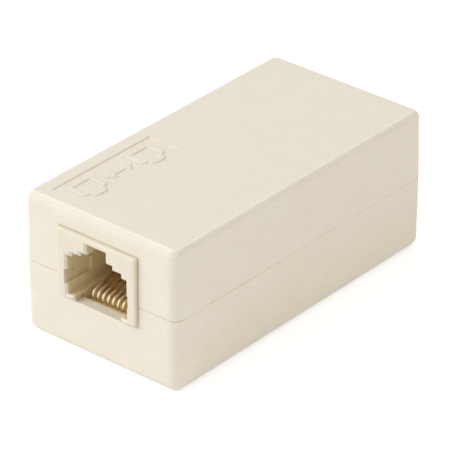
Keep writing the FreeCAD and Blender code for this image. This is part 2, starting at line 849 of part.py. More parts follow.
def circuit_board():
    body = new_body("circuit_board")
    plate = sketch_on(body, "XY_Plane", "plate", "board_level")
    rectangle(plate, "-board_half_width", "board_half_width", "-board_half_length", "board_half_length")
    sheet = extrude(body, "Pad", plate, "board_plate", "board_thickness")
    soften(
        body, "Fillet", sheet, lambda box: near(box.ZLength, "board_thickness"), "corners", "board_corner"
    )
    mounting = sketch_on(body, "XY_Plane", "mounting", "board_top")
    for side in ("", "-"):
        for end in ("", "-"):
            circle(mounting, f"{side}post_x", f"{end}post_y", "pin_radius + slip")
    extrude(body, "Pocket", mounting, "mounting_holes", "board_thickness")
    drilling = sketch_on(body, "XY_Plane", "drilling", "board_top")
    for side in ("", "-"):
        circle(drilling, f"{side}peg_x", "peg_y", "peg_radius + slip")
    for number in range(SIZES["contact_count"]):
        across = f"first_contact + {number} * contact_spacing"
        circle(drilling, across, f"first_row + {number % 2} * row_step", "hole_radius")
    holes = extrude(body, "Pocket", drilling, "socket_holes", "board_thickness")
    both_ends(body, [holes], "socket_holes_both_ends")
    return body


def solder_joints(end):
    """Eight cones of solder under the board, one round each wire's tail."""
    cones, bores = [], []
    for number in range(SIZES["contact_count"]):
        place = {
            "x": f"first_contact + {number} * contact_spacing",
            "y": f"first_row + {number % 2} * row_step",
            "z": "board_level - solder_height",
        }
        cone = doc.addObject("Part::Cone", f"{end}_solder_{number + 1}")
        cone.setExpression("Radius1", bound("solder_tip"))
        cone.setExpression("Radius2", bound("solder_radius"))
        cone.setExpression("Height", bound("solder_height"))
        bore = doc.addObject("Part::Cylinder", f"{end}_solder_bore_{number + 1}")
        bore.setExpression("Radius", bound("wire_radius"))
        bore.setExpression("Height", bound("solder_height"))
        for solid in (cone, bore):
            for axis, text in place.items():
                solid.setExpression(f".Placement.Base.{axis}", bound(text))
        cones.append(cone)
        bores.append(bore)
    outside = doc.addObject("Part::Compound", f"{end}_solder_cones")
    outside.Links = cones
    inside = doc.addObject("Part::Compound", f"{end}_solder_bores")
    inside.Links = bores
    joints = doc.addObject("Part::Cut", f"{end}_solder_joints")
    joints.Base = outside
    joints.Tool = inside
    doc.recompute()
    settle(joints, end)
    joints.Label = f"{end}_solder_joints"
    return joints


# The coupler, put together
pieces = [upper_shell(), lower_shell(), circuit_board()]
for end in ("front", "rear"):
    pieces.append(jack_housing(end))
    pieces.append(contact_carrier(end))
    pieces.extend(contact(end, number) for number in range(1, SIZES["contact_count"] + 1))
    pieces.append(solder_joints(end))
doc.recompute()

for item in doc.Objects:
    if "Invalid" in item.State or "Error" in item.State:
        raise RuntimeError(f"{item.Name} failed: {item.State}")
for piece in pieces:
    if piece.Shape.isNull() or not piece.Shape.isValid():
        raise RuntimeError(f"{piece.Label} has no valid shape")

os.makedirs("parts", exist_ok=True)
for piece in pieces:
    piece.Shape.exportStep(f"parts/{piece.Label}.step")
    print(piece.Label, round(piece.Shape.Volume, 3), "mm3", len(piece.Shape.Solids), "solids")
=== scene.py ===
import math

import bmesh
import bpy
import numpy as np
from mathutils import Matrix, Vector


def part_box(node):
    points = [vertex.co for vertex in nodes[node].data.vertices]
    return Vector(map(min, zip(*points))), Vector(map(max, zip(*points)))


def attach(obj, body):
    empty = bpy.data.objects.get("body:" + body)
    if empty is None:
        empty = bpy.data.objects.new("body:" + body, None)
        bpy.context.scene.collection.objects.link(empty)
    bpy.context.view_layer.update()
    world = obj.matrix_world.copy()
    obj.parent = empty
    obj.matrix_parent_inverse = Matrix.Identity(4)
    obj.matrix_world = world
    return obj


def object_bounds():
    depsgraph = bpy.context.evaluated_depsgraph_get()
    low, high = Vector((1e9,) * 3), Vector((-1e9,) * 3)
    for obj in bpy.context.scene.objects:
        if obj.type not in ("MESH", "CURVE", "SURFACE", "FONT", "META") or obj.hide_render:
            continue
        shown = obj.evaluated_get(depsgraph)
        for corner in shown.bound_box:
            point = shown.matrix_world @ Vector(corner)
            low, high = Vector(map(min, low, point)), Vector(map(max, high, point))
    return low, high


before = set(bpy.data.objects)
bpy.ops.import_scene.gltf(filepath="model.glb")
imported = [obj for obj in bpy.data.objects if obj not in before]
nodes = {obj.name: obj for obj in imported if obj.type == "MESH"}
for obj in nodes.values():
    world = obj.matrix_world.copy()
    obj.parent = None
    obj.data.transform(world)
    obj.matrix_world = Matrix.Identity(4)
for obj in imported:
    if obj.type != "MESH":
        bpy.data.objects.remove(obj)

cad_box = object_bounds()

# Camera
# The photograph is taken with a long lens from the front right and a little above the coupler, so
# the far end is hardly smaller than the near one. The values come from a fit to the coupler's edges.
view_azimuth, view_elevation, view_roll = math.radians(40.308), math.radians(29.789), math.radians(0.103)
view_distance = 0.54594
view_slide_right, view_slide_up = -0.000227, -0.001356
picture_width_px, focal_length_px = 452, 3498.55
sensor_width = 36.0
nearest_shown, farthest_shown = 0.01, 20

away = Vector(
    (
        math.sin(view_azimuth) * math.cos(view_elevation),
        -math.cos(view_azimuth) * math.cos(view_elevation),
        math.sin(view_elevation),
    )
)
level_right = Vector((math.cos(view_azimuth), math.sin(view_azimuth), 0))
level_up = away.cross(level_right)
view_right = level_right * math.cos(view_roll) - level_up * math.sin(view_roll)
view_up = away.cross(view_right)

lens = bpy.data.cameras.new("camera")
lens.sensor_width = sensor_width
lens.lens = focal_length_px * sensor_width / picture_width_px
lens.clip_start, lens.clip_end = nearest_shown, farthest_shown
camera = bpy.data.objects.new("camera", lens)
middle = (cad_box[0] + cad_box[1]) / 2
aim = middle + view_right * view_slide_right + view_up * view_slide_up
camera.matrix_world = Matrix.Translation(aim + away * view_distance) @ Matrix(
    (view_right, view_up, away)
).transposed().to_4x4()
bpy.context.scene.collection.objects.link(camera)
bpy.context.scene.camera = camera
bpy.context.scene.view_settings.view_transform = "Standard"

# Light and floor
# A large softbox in front at the left and above, a weak low one at the right that can't shine into
# the socket, and a white room. The floor is white to the camera and still takes the soft shadow.
room_white, room_strength = (1.0, 0.99, 0.955, 1), 0.7
softboxes = {
    "key": dict(azimuth=-42, elevation=40, distance=0.9, width=0.6, power=4.0, colour=(0.88, 0.945, 1.0)),
    "side": dict(azimuth=100, elevation=10, distance=1.1, width=0.5, power=0.85, colour=(1.0, 0.99, 0.96)),
}


def aimed_softbox(name, azimuth, elevation, distance, width, power, colour):
    """Square lamp on a sphere round the coupler that faces its middle."""
    turn, lift = math.radians(azimuth), math.radians(elevation)
    out = Vector((math.sin(turn) * math.cos(lift), -math.cos(turn) * math.cos(lift), math.sin(lift)))
    lamp = bpy.data.lights.new(name, "AREA")
    lamp.size, lamp.energy, lamp.color = width, power, colour
    holder = bpy.data.objects.new(name, lamp)
    holder.matrix_world = Matrix.Translation(middle + out * distance) @ out.to_track_quat(
        "Z", "Y"
    ).to_matrix().to_4x4()
    bpy.context.scene.collection.objects.link(holder)


for lamp_name, lamp_place in softboxes.items():
    aimed_softbox(lamp_name, **lamp_place)


def shown_white(graph):
    """Socket that is 1 for the rays that show a background: straight, mirrored or let through."""
    path = graph.nodes.new("ShaderNodeLightPath")
    direct, seen = graph.nodes.new("ShaderNodeMath"), graph.nodes.new("ShaderNodeMath")
    direct.operation = seen.operation = "MAXIMUM"
    graph.links.new(path.outputs["Is Camera Ray"], direct.inputs[0])
    graph.links.new(path.outputs["Is Transmission Ray"], direct.inputs[1])
    graph.links.new(direct.outputs["Value"], seen.inputs[0])
    graph.links.new(path.outputs["Is Glossy Ray"], seen.inputs[1])
    return seen.outputs["Value"]


room = bpy.data.worlds.new("white_room")
room.use_nodes = True
bpy.context.scene.world = room
room_graph = room.node_tree
room_graph.nodes.clear()
lit = room_graph.nodes.new("ShaderNodeBackground")
lit.inputs["Color"].default_value = room_white
lit.inputs["Strength"].default_value = room_strength
shown = room_graph.nodes.new("ShaderNodeBackground")
shown.inputs["Color"].default_value = (1, 1, 1, 1)
shown.inputs["Strength"].default_value = 1.0
choice = room_graph.nodes.new("ShaderNodeMixShader")
sky = room_graph.nodes.new("ShaderNodeOutputWorld")
room_graph.links.new(shown_white(room_graph), choice.inputs["Fac"])
room_graph.links.new(lit.outputs["Background"], choice.inputs[1])
room_graph.links.new(shown.outputs["Background"], choice.inputs[2])
room_graph.links.new(choice.outputs["Shader"], sky.inputs["Surface"])

floor_half = 3.0
floor_colour = (0.95, 0.95, 0.945, 1)
floor_glow = (0.38, 0.385, 0.41, 1)


def floor_paper():
    """White paper: lit as it is, with a little glow added for the rays that show it."""
    paper = bpy.data.materials.new("floor_paper")
    paper.use_nodes = True
    graph = paper.node_tree
    shader = graph.nodes["Principled BSDF"]
    shader.inputs["Base Color"].default_value = floor_colour
    shader.inputs["Roughness"].default_value = 0.9
    shader.inputs["Specular IOR Level"].default_value = 0.1
    shader.inputs["Emission Strength"].default_value = 1.0
    glow = graph.nodes.new("ShaderNodeMix")
    glow.data_type = "RGBA"
    glow.inputs["A"].default_value = (0, 0, 0, 1)
    glow.inputs["B"].default_value = floor_glow
    graph.links.new(shown_white(graph), glow.inputs["Factor"])
    graph.links.new(glow.outputs["Result"], shader.inputs["Emission Color"])
    return paper


floor_corners = [
    (x * floor_half, y * floor_half, 0) for x, y in ((-1, -1), (1, -1), (1, 1), (-1, 1))
]
floor_mesh = bpy.data.meshes.new("floor")
floor_mesh.from_pydata(floor_corners, [], [(0, 1, 2, 3)])
floor_mesh.materials.append(floor_paper())
floor = bpy.data.objects.new("floor", floor_mesh)
bpy.context.scene.collection.objects.link(floor)

# Shells
# Two halves moulded in ivory ABS with a fine spark-eroded grain. The lower one carries the snap
# arms, the upper one closes over them, and a bevelled groove runs all round where they meet.
shell_ivory, shell_shade = (0.868, 0.793, 0.676, 1), (0.808, 0.731, 0.612, 1)
eroded_mould = dict(
    roughness=0.52, pits_per_metre=2700, patches_per_metre=240, pit_depth=0.00009, relief=0.9
)
polish_swing = 0.16
light_spread, spread_reach = (1.0, 0.62, 0.32), 0.0012


def new_group(name, inputs, outputs):
    """Empty shader node group with named sockets, its input node and its output node."""
    group = bpy.data.node_groups.new(name, "ShaderNodeTree")
    for in_out, sockets in (("INPUT", inputs), ("OUTPUT", outputs)):
        for socket_name, kind in sockets.items():
            group.interface.new_socket(
                name=socket_name, in_out=in_out, socket_type=f"NodeSocket{kind}"
            )
    return group, group.nodes.new("NodeGroupInput"), group.nodes.new("NodeGroupOutput")


def placed_group(graph, group, values):
    """A group's node in a material's graph, with the values of its named inputs."""
    node = graph.nodes.new("ShaderNodeGroup")
    node.node_tree = group
    for socket_name, value in values.items():
        node.inputs[socket_name].default_value = value
    return node


def moulded_grain_group():
    """Fine pits of an eroded mould over soft patches a few millimetres wide.

    Colour runs from Shade to Colour with pits and patches together, 6 to 4. Height follows the pits
    alone, and so does the roughness: Roughness + polish_swing * (pits - 1/2).
    """
    group, given, made = new_group(
        "moulded_grain",
        {
            "Colour": "Color",
            "Shade": "Color",
            "Roughness": "Float",
            "Pits per metre": "Float",
            "Patches per metre": "Float",
        },
        {"Colour": "Color", "Roughness": "Float", "Height": "Float"},
    )
    place = group.nodes.new("ShaderNodeTexCoord")
    pits = group.nodes.new("ShaderNodeTexNoise")
    pits.inputs["Detail"].default_value = 3.0
    pits.inputs["Roughness"].default_value = 0.62
    patches = group.nodes.new("ShaderNodeTexNoise")
    patches.inputs["Detail"].default_value = 4.0
    patches.inputs["Roughness"].default_value = 0.55
    spread = group.nodes.new("ShaderNodeMapRange")
    spread.inputs["From Min"].default_value = 0.3
    spread.inputs["From Max"].default_value = 0.68
    freckle = group.nodes.new("ShaderNodeMapRange")
    freckle.inputs["From Min"].default_value = 0.3
    freckle.inputs["From Max"].default_value = 0.7
    share = group.nodes.new("ShaderNodeMix")
    share.inputs["Factor"].default_value = 0.6
    blend = group.nodes.new("ShaderNodeMix")
    blend.data_type = "RGBA"
    lower = group.nodes.new("ShaderNodeMath")
    lower.operation = "SUBTRACT"
    lower.inputs[1].default_value = polish_swing / 2
    polish = group.nodes.new("ShaderNodeMath")
    polish.operation = "MULTIPLY_ADD"
    polish.inputs[1].default_value = polish_swing
    join = group.links.new
    join(place.outputs["Object"], pits.inputs["Vector"])
    join(place.outputs["Object"], patches.inputs["Vector"])
    join(given.outputs["Pits per metre"], pits.inputs["Scale"])
    join(given.outputs["Patches per metre"], patches.inputs["Scale"])
    join(patches.outputs["Fac"], spread.inputs["Value"])
    join(pits.outputs["Fac"], freckle.inputs["Value"])
    join(spread.outputs["Result"], share.inputs["A"])
    join(freckle.outputs["Result"], share.inputs["B"])
    join(share.outputs["Result"], blend.inputs["Factor"])
    join(given.outputs["Shade"], blend.inputs["A"])
    join(given.outputs["Colour"], blend.inputs["B"])
    join(blend.outputs["Result"], made.inputs["Colour"])
    join(given.outputs["Roughness"], lower.inputs[0])
    join(pits.outputs["Fac"], polish.inputs[0])
    join(lower.outputs["Value"], polish.inputs[2])
    join(polish.outputs["Value"], made.inputs["Roughness"])
    join(pits.outputs["Fac"], made.inputs["Height"])
    return group


moulded_grain = moulded_grain_group()


def grained_finish(
    name, colour, shade, roughness, pits_per_metre, patches_per_metre, pit_depth, relief, spread=0
):
    """Surface with the grain of its mould: two tones, an uneven polish and a bump from the pits.

    Spread is the share of the light that travels a little way under the skin.
    """
    material = bpy.data.materials.new(name)
    material.use_nodes = True
    graph = material.node_tree
    shader = graph.nodes["Principled BSDF"]
    grain = placed_group(
        graph,
        moulded_grain,
        {
            "Colour": colour,
            "Shade": shade,
            "Roughness": roughness,
            "Pits per metre": pits_per_metre,
            "Patches per metre": patches_per_metre,
        },
    )
    bump = graph.nodes.new("ShaderNodeBump")
    bump.inputs["Strength"].default_value = relief
    bump.inputs["Distance"].default_value = pit_depth
    graph.links.new(grain.outputs["Colour"], shader.inputs["Base Color"])
    graph.links.new(grain.outputs["Roughness"], shader.inputs["Roughness"])
    graph.links.new(grain.outputs["Height"], bump.inputs["Height"])
    graph.links.new(bump.outputs["Normal"], shader.inputs["Normal"])
    shader.inputs["IOR"].default_value = 1.5
    shader.inputs["Specular IOR Level"].default_value = 0.4
    shader.inputs["Subsurface Weight"].default_value = spread
    shader.inputs["Subsurface Radius"].default_value = light_spread
    shader.inputs["Subsurface Scale"].default_value = spread_reach
    return material


def add_layer(material, group, values):
    """Puts a group that changes a colour between a finish's colour and its shader."""
    graph = material.node_tree
    colour_socket = graph.nodes["Principled BSDF"].inputs["Base Color"]
    layer = placed_group(graph, group, values)
    graph.links.new(colour_socket.links[0].from_socket, layer.inputs["Colour"])
    graph.links.new(layer.outputs["Colour"], colour_socket)


# Dark specks of burnt plastic: middle, radius and strength of each.
speck_brown, speck_rag, rags_per_metre = (0.16, 0.11, 0.06, 1), 0.00018, 6000
shell_specks = (
    ((0.0019, 0.0210, 0.0244), 0.00022, 0.35),
    ((-0.0031, -0.0190, 0.0244), 0.00020, 0.3),
    ((0.0154, 0.0195, 0.0205), 0.00020, 0.3),
    ((0.0154, -0.0110, 0.0126), 0.00030, 0.3),
)


def speck_group():
    """A stain that is strongest at Centre and gone at Radius, with its edge pushed about by noise.

    Its share is Strength * (1 - (distance + speck_rag * noise) / Radius), not below 0.
    """
    group, given, made = new_group(
        "speck",
        {"Colour": "Color", "Centre": "Vector", "Radius": "Float", "Strength": "Float"},
        {"Colour": "Color"},
    )
    place = group.nodes.new("ShaderNodeTexCoord")
    reach = group.nodes.new("ShaderNodeVectorMath")
    reach.operation = "DISTANCE"
    rag = group.nodes.new("ShaderNodeTexNoise")
    rag.inputs["Scale"].default_value = rags_per_metre
    push = group.nodes.new("ShaderNodeMath")
    push.operation = "MULTIPLY_ADD"
    push.inputs[1].default_value = speck_rag
    edge = group.nodes.new("ShaderNodeMapRange")
    edge.inputs["To Min"].default_value = 1.0
    edge.inputs["To Max"].default_value = 0.0
    weaken = group.nodes.new("ShaderNodeMath")
    weaken.operation = "MULTIPLY"
    stain = group.nodes.new("ShaderNodeMix")
    stain.data_type = "RGBA"
    stain.inputs["B"].default_value = speck_brown
    join = group.links.new
    join(place.outputs["Object"], reach.inputs[0])
    join(given.outputs["Centre"], reach.inputs[1])
    join(place.outputs["Object"], rag.inputs["Vector"])
    join(rag.outputs["Fac"], push.inputs[0])
    join(reach.outputs["Value"], push.inputs[2])
    join(push.outputs["Value"], edge.inputs["Value"])
    join(given.outputs["Radius"], edge.inputs["From Max"])
    join(edge.outputs["Result"], weaken.inputs[0])
    join(given.outputs["Strength"], weaken.inputs[1])
    join(weaken.outputs["Value"], stain.inputs["Factor"])
    join(given.outputs["Colour"], stain.inputs["A"])
    join(stain.outputs["Result"], made.inputs["Colour"])
    return group


speck = speck_group()


def add_specks(material, specks):
    """One speck group in the material for each speck of the list."""
    for centre, radius, strength in specks:
        add_layer(material, speck, {"Centre": centre, "Radius": radius, "Strength": strength})


# Painted highlight: a paler band at one height, along the top's rounded edges and on the wall of its
# recess.
highlight_level, highlight_reach, painted_highlight_ivory = 0.0243, 0.0001, (0.94, 0.86, 0.735, 1)
band_core = 0.6


def level_band_group():
    """Blends a colour into Tone round one height, broken by noise.

    The band is full within band_core * Reach of Level, and fades out from there to Reach.
    """
    group, given, made = new_group(
        "level_band",
        {
            "Colour": "Color",
            "Tone": "Color",
            "Level": "Float",
            "Reach": "Float",
            "Breaks per metre": "Float",
        },
        {"Colour": "Color"},
    )
    place = group.nodes.new("ShaderNodeTexCoord")
    split = group.nodes.new("ShaderNodeSeparateXYZ")
    rise_above = group.nodes.new("ShaderNodeMath")
    rise_above.operation = "SUBTRACT"
    off_level = group.nodes.new("ShaderNodeMath")
    off_level.operation = "ABSOLUTE"
    core = group.nodes.new("ShaderNodeMath")
    core.operation = "MULTIPLY"
    core.inputs[1].default_value = band_core
    band = group.nodes.new("ShaderNodeMapRange")
    breaks = group.nodes.new("ShaderNodeTexNoise")
    patchy = group.nodes.new("ShaderNodeMapRange")
    patchy.inputs["From Min"].default_value = 0.3
    patchy.inputs["From Max"].default_value = 0.6
    patchy.inputs["To Min"].default_value = 0.6
    share = group.nodes.new("ShaderNodeMath")
    share.operation = "MULTIPLY"
    toned = group.nodes.new("ShaderNodeMix")
    toned.data_type = "RGBA"
    join = group.links.new
    join(place.outputs["Object"], split.inputs["Vector"])
    join(split.outputs["Z"], rise_above.inputs[0])
    join(given.outputs["Level"], rise_above.inputs[1])
    join(rise_above.outputs["Value"], off_level.inputs[0])
    join(off_level.outputs["Value"], band.inputs["Value"])
    join(given.outputs["Reach"], band.inputs["From Min"])
    join(given.outputs["Reach"], core.inputs[0])
    join(core.outputs["Value"], band.inputs["From Max"])
    join(place.outputs["Object"], breaks.inputs["Vector"])
    join(given.outputs["Breaks per metre"], breaks.inputs["Scale"])
    join(breaks.outputs["Fac"], patchy.inputs["Value"])
    join(band.outputs["Result"], share.inputs[0])
    join(patchy.outputs["Result"], share.inputs[1])
    join(share.outputs["Value"], toned.inputs["Factor"])
    join(given.outputs["Colour"], toned.inputs["A"])
    join(given.outputs["Tone"], toned.inputs["B"])
    join(toned.outputs["Result"], made.inputs["Colour"])
    return group


level_band = level_band_group()


def dress(node_names, material):
    """The material in every slot of the named CAD nodes."""
    for node_name in node_names:
        for slot in nodes[node_name].material_slots:
            slot.material = material


shell_plastic = grained_finish("ivory_shell", shell_ivory, shell_shade, **eroded_mould)
add_specks(shell_plastic, shell_specks)
# Painted highlight along the top's edges and the wall of the recess.
add_layer(
    shell_plastic,
    level_band,
    {"Tone": painted_highlight_ivory, "Level": highlight_level, "Reach": highlight_reach, "Breaks per metre": 500},
)
dress(("upper_shell", "lower_shell"), shell_plastic)

# Raised mark
# Moulded with the upper shell in the shallow recess on top: two modular sockets in outline, joined
# by an arrow with two heads. The strokes have soft flanks, and they are darker in a thin band at their
# foot.
recess_middle = (-0.0083, -0.0159)
recess_floor, mark_top, mark_root = 0.0242, 0.02439, 0.02412
stroke_half, flank_width = 0.00042, 0.0003
corner_steps, flank_steps = 5, 9
foot_band_reach, foot_band_tan = 0.00009, (0.70, 0.62, 0.48, 1)
socket_reach = 0.0066
socket_corners = (
    (-0.0023, -0.0012),
    (-0.0023, 0.0021),
    (0.0023, 0.0021),
    (0.0023, -0.0012),
    (0.0011, -0.0012),
    (0.0011, -0.0024),
    (-0.0011, -0.0024),
    (-0.0011, -0.0012),
)
arrow_corners = (
    (-0.0031, 0.0),
    (-0.0013, -0.0017),
    (-0.0013, -0.00055),
    (0.0013, -0.00055),
    (0.0013, -0.0017),
    (0.0031, 0.0),
    (0.0013, 0.0017),
    (0.0013, 0.00055),
    (-0.0013, 0.00055),
    (-0.0013, 0.0017),
)


def rounded_loop(corners, radius):
    """Points and right-hand normals round a polygon with its corners rounded, by one radius or one each.

    At a corner the loop turns by t. It leaves the first side radius*tan(|t|/2) before the corner and
    runs on a circle beside that side: point = centre + start turned by s*t, for s from 0 to 1.
    """
    corner = np.array(corners)
    ahead = np.roll(corner, -1, 0) - corner
    ahead /= np.linalg.norm(ahead, axis=1, keepdims=True)
    behind = np.roll(ahead, 1, 0)
    turn = np.arctan2(
        behind[:, 0] * ahead[:, 1] - behind[:, 1] * ahead[:, 0], (behind * ahead).sum(1)
    )
    start = corner - behind * (radius * np.tan(np.abs(turn) / 2))[:, None]
    right = np.stack([behind[:, 1], -behind[:, 0]], 1)
    centre = start - right * (radius * np.sign(turn))[:, None]
    angle = turn[:, None] * np.linspace(0, 1, corner_steps)
    cos, sin = np.cos(angle), np.sin(angle)
    normal = np.stack(
        [right[:, :1] * cos - right[:, 1:] * sin, right[:, :1] * sin + right[:, 1:] * cos], 2
    )
    points = centre[:, None] + normal * (radius * np.sign(turn))[:, None, None]
    return points.reshape(-1, 2), normal.reshape(-1, 2)


def grid_faces(count, rows, closed):
    """Quads of a grid of rows whose points run round a loop; closed joins the last row to the first."""
    across = rows if closed else rows - 1
    row, step = np.meshgrid(np.arange(across), np.arange(count), indexing="ij")
    above, beside = (row + 1) % rows, (step + 1) % count
    return np.stack(
        [row * count + step, row * count + beside, above * count + beside, above * count + step], 2
    ).reshape(-1, 4)


def moulded_piece(name, rows, closed, material):
    """Closed mesh with doubles merged and faces outward, moulded with the part that it stands on.

    Its skin is the grid of rows. A grid whose rows don't close on themselves ends in two flat faces.
    """
    count = len(rows[0])
    faces = grid_faces(count, len(rows), closed).tolist()
    if not closed:
        faces += [list(range(count)), list(range(count * (len(rows) - 1), count * len(rows)))]
    mesh = bpy.data.meshes.new(name)
    mesh.from_pydata(np.concatenate(rows).tolist(), [], faces)
    work = bmesh.new()
    work.from_mesh(mesh)
    bmesh.ops.remove_doubles(work, verts=work.verts, dist=1e-7)
    bmesh.ops.dissolve_degenerate(work, edges=work.edges, dist=1e-7)
    bmesh.ops.recalc_face_normals(work, faces=work.faces)
    work.to_mesh(mesh)
    work.free()
    mesh.materials.append(material)
    piece = bpy.data.objects.new(name, mesh)
    bpy.context.scene.collection.objects.link(piece)
    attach(piece, "root")


def drawn_in_recess(points, middle_y, level):
    """Flat points of a drawing, its own up towards -X, set in the recess at one level."""
    return np.stack(
        [
            recess_middle[0] - points[:, 1],
            middle_y + points[:, 0],
            np.full(len(points), level),
        ],
        1,
    )


# Half of a stroke's section: its root in the shell, then a flank that rises as s*s*(3-2s) while it
# runs inwards by the flank width, for s from 0 to 1.
stroke_edge = stroke_half + flank_width / 2
rise = np.linspace(0, 1, flank_steps)
flank = np.stack(
    [
        stroke_half + flank_width * (0.5 - rise),
        recess_floor + (mark_top - recess_floor) * rise**2 * (3 - 2 * rise),
    ],
    1,
)
half_section = np.concatenate([[[stroke_edge, mark_root]], flank])
stroke_profile = np.concatenate([half_section, half_section[::-1] * (-1, 1)])

mark_plastic = grained_finish("ivory_mark", shell_ivory, shell_shade, **eroded_mould)
# A darker tan band round the foot of the strokes.
add_layer(
    mark_plastic,
    level_band,
    {"Tone": foot_band_tan, "Level": recess_floor, "Reach": foot_band_reach, "Breaks per metre": 900},
)

outline, outward = rounded_loop(socket_corners, stroke_edge)
for place_name, place_y in (("near", -socket_reach), ("far", socket_reach)):
    socket_rows = [
        drawn_in_recess(outline + outward * offset, recess_middle[1] + place_y, level)
        for offset, level in stroke_profile
    ]
    moulded_piece(f"mark_socket_{place_name}", socket_rows, True, mark_plastic)

tip, tip_outward = rounded_loop(arrow_corners, flank_width)
arrow_rows = [
    drawn_in_recess(tip + tip_outward * (offset - stroke_edge), recess_middle[1], level)
    for offset, level in half_section
]
moulded_piece("mark_arrow", arrow_rows, False, mark_plastic)

# Rim flash
# A thin skin of ivory that the mould left on the lower shell's rim, in two strips that stop at the
# windows. It fills the bevelled groove along the sides, apart from a worn stretch on each, and draws
# back into the slit behind the groove towards the ends.
rim_ivory, rim_shade = (0.835, 0.76, 0.645, 1), (0.775, 0.70, 0.585, 1)
groove_low, groove_high, groove_bevel = 0.0124, 0.01275, 0.00015
rim_corner, rim_clearance, rim_step = 0.00175, 0.000006, 0.0005
shell_half_width, shell_half_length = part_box("upper_shell")[1][:2]
strip_end = 0.00812
filled_depth, worn_depth, drawn_back_depth, flash_root = 0.00004, 0.00013, 0.0006, 0.0007
drawn_back_from, drawn_back_fade, worn_fade = 0.0024, 0.002, 0.001
worn_stretches = {"right": (-0.0226, -0.0078), "left": (0.0040, 0.0170)}

rim_loop, rim_normals = rounded_loop(
    (
        (strip_end, -shell_half_length),
        (shell_half_width, -shell_half_length),
        (shell_half_width, shell_half_length),
        (strip_end, shell_half_length),
    ),
    np.array((0, rim_corner, rim_corner, 0)),
)
# The strip's part of the loop, from one window round the two corners to the other, in even steps.
on_strip = slice(corner_steps - 1, 3 * corner_steps + 1)
rim_loop, rim_normals = rim_loop[on_strip], rim_normals[on_strip]
travelled = np.linalg.norm(np.diff(rim_loop, axis=0, prepend=rim_loop[:1]), axis=1).cumsum()
stations = np.arange(0, travelled[-1], rim_step)
rim, rim_outward = (
    np.stack([np.interp(stations, travelled, column) for column in values.T], 1)
    for values in (rim_loop, rim_normals)
)
from_end = shell_half_length - np.abs(rim[:, 1])
drawn_back = np.clip((drawn_back_from - from_end) / drawn_back_fade, 0, 1)
root_depth = np.full(len(rim), flash_root)

# A section of the strip has four corners: two of its skin, filled_depth behind the shell's face or
# deeper where it is worn or drawn back, and two of its root. Each corner lies at its own depth, and
# moves off its shell by as much, up to the bevel, because the groove narrows at 45 degrees.
rim_plastic = grained_finish("ivory_rim", rim_ivory, rim_shade, **eroded_mould)
for side_name, mirror in (("right", 1), ("left", -1)):
    worn_start, worn_end = worn_stretches[side_name]
    worn = np.clip(np.minimum(rim[:, 1] - worn_start, worn_end - rim[:, 1]) / worn_fade, 0, 1)
    skin_depth = (
        filled_depth + (drawn_back_depth - filled_depth) * drawn_back + (worn_depth - filled_depth) * worn
    )
    rim_rows = [
        np.column_stack(
            [
                (rim - rim_outward * depth[:, None]) * (mirror, 1),
                level - upward * (rim_clearance + np.minimum(depth, groove_bevel)),
            ]
        )
        for depth, level, upward in (
            (skin_depth, groove_low, -1),
            (skin_depth, groove_high, 1),
            (root_depth, groove_high, 1),
            (root_depth, groove_low, -1),
        )
    ]
    moulded_piece(f"rim_flash_{side_name}", np.stack(rim_rows, 1), False, rim_plastic)

# Socket housings
# One frame of smooth ivory ABS at each end. Its stepped mouth takes the plug and its latch, and it
# stands a little proud of the box.
socket_ivory, socket_shade = (0.80, 0.728, 0.605, 1), (0.785, 0.712, 0.585, 1)
polished_mould = dict(pits_per_metre=5200, patches_per_metre=420, pit_depth=0.00002, relief=0.2)
socket_specks = (((-0.00645, -0.02863, 0.01325), 0.0004, 0.7),)


def depth_group():
    """Deepens a colour from Lip to Depth, which are distances along Y from the coupler's middle.

    Light reaches the depth of a pale socket only after many bounces, each of which warms it.
    """
    group, given, made = new_group(
        "socket_depth",
        {"Colour": "Color", "Deep tint": "Color", "Lip": "Float", "Depth": "Float"},
        {"Colour": "Color"},
    )
    place = group.nodes.new("ShaderNodeTexCoord")
    split = group.nodes.new("ShaderNodeSeparateXYZ")
    reach = group.nodes.new("ShaderNodeMath")
    reach.operation = "ABSOLUTE"
    fall = group.nodes.new("ShaderNodeMapRange")
    fall.interpolation_type = "SMOOTHSTEP"
    darken = group.nodes.new("ShaderNodeMix")
    darken.data_type = "RGBA"
    darken.blend_type = "MULTIPLY"
    join = group.links.new
    join(place.outputs["Object"], split.inputs["Vector"])
    join(split.outputs["Y"], reach.inputs[0])
    join(reach.outputs["Value"], fall.inputs["Value"])
    join(given.outputs["Lip"], fall.inputs["From Min"])
    join(given.outputs["Depth"], fall.inputs["From Max"])
    join(fall.outputs["Result"], darken.inputs["Factor"])
    join(given.outputs["Colour"], darken.inputs["A"])
    join(given.outputs["Deep tint"], darken.inputs["B"])
    join(darken.outputs["Result"], made.inputs["Colour"])
    return group


socket_depth = depth_group()
socket_plastic = grained_finish(
    "ivory_socket", socket_ivory, socket_shade, roughness=0.42, spread=0.4, **polished_mould
)
add_specks(socket_plastic, socket_specks)
# Painted shade: the mouth turns darker and warmer just inside its lip.
add_layer(
    socket_plastic, socket_depth, {"Deep tint": (0.96, 0.885, 0.67, 1), "Lip": 0.0303, "Depth": 0.0296}
)
dress(("front_jack_housing", "rear_jack_housing"), socket_plastic)

# Socket collars
# A low rib moulded round each housing just behind the shells' window, open below like the housing.
# It fills the narrow gap in which the housing floats, and leans forward to its two feet.
nose_above_board = 0.0020
window_gap, window_headroom, sill_gap, play = 0.00022, 0.00012, 0.00055, 0.00002
collar_root, foot_end = 0.00015, 0.0048
outer_foot_round, inner_foot_round = 0.0008, 0.00045
collar_front, collar_back = 0.02986, 0.0287
collar_slope, collar_lean = 0.00004, 0.00012
housing_box, board_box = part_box("front_jack_housing"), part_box("circuit_board")
nose_half, nose_top = housing_box[1][0], housing_box[1][2]
nose_bottom = board_box[1][2] + nose_above_board


